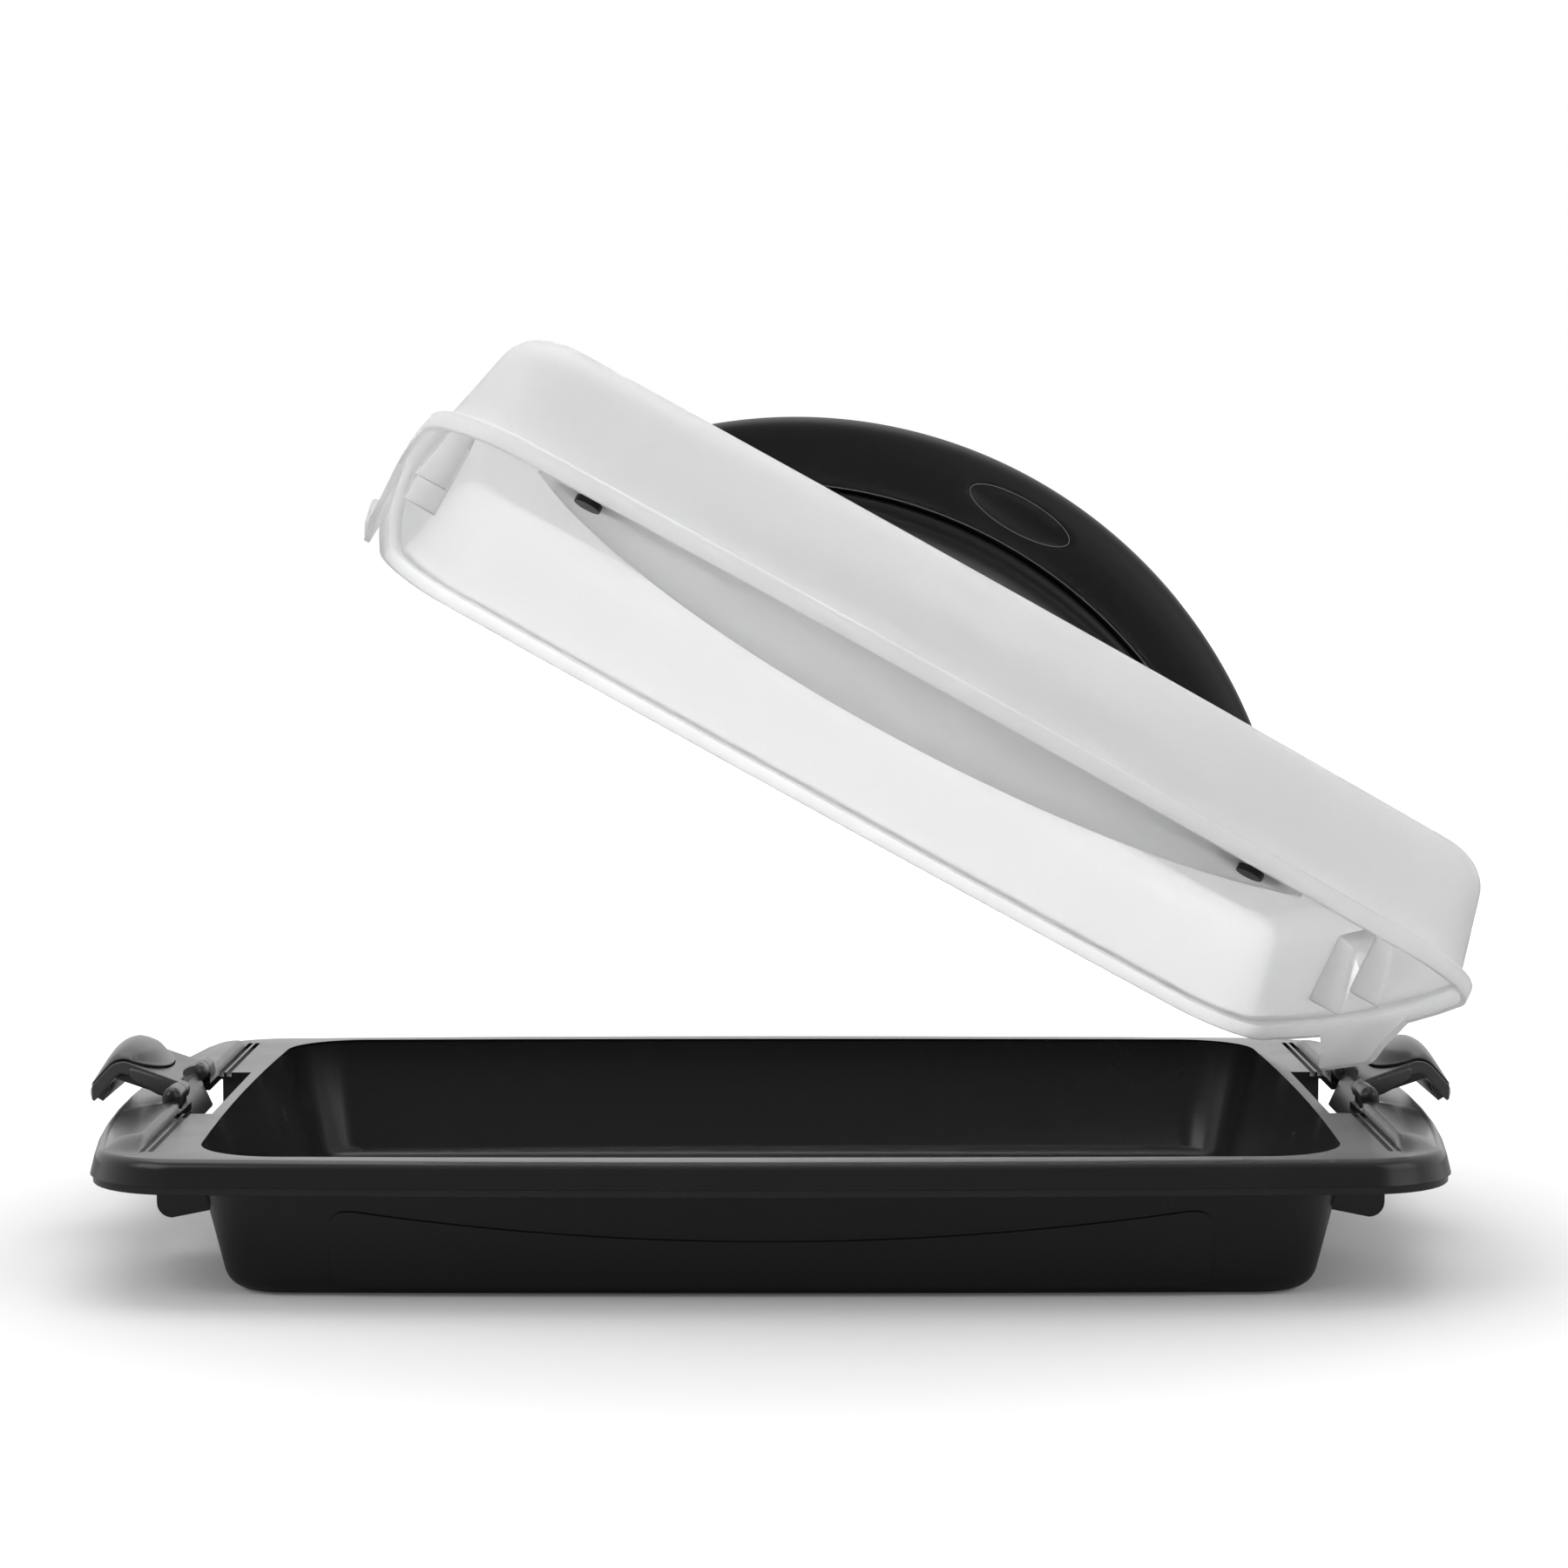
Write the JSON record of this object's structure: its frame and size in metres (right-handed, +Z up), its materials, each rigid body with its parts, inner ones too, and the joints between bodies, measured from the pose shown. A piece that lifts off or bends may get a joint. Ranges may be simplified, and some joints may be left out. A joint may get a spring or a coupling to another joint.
{
  "type": "cake carrier with hinged lid",
  "caption": "Rectangular cake carrier: black moulded tray with two rocker clips and a translucent lid with an arched handle, shown tilted open.",
  "frame": {"origin": "middle of the tray's flat underside", "axes": "+X along the tray towards the clip the lid tilts on, +Y towards the back long side, +Z up"},
  "size_m": [0.4774, 0.3062, 0.3051],
  "materials": {
    "tray_plastic": "black moulded plastic with a fine satin grain",
    "lid_plastic": "frosted translucent plastic",
    "clip_plastic": "black satin plastic",
    "handle_plastic": "black satin plastic"
  },
  "bodies": {
    "base": {"base_tray": "tray_plastic"},
    "lid": {"lid_shell": "lid_plastic", "handle_grip": "handle_plastic", "handle_strip": "handle_plastic", "handle_peg_left": "handle_plastic", "handle_peg_right": "handle_plastic"},
    "clip_left": {"clip_left": "clip_plastic", "clip_pad_left": "clip_plastic"},
    "clip_right": {"clip_right": "clip_plastic", "clip_pad_right": "clip_plastic"}
  },
  "joints": [
    {"name": "lid_tilt", "type": "hinge", "parent": "base", "child": "lid", "pos_m": [0.212, 0.074, 0.0468], "axis": [-0.3978, 0.8936, 0.2079], "range_deg": [-32, 12]},
    {"name": "clip_left_turn", "type": "hinge", "parent": "base", "child": "clip_left", "pos_m": [-0.2058, 0, 0.0507], "axis": [0, 1, 0], "range_deg": [-19, 0]},
    {"name": "clip_right_turn", "type": "hinge", "parent": "base", "child": "clip_right", "pos_m": [0.2058, 0, 0.0507], "axis": [0, 1, 0], "range_deg": [0, 19]}
  ]
}
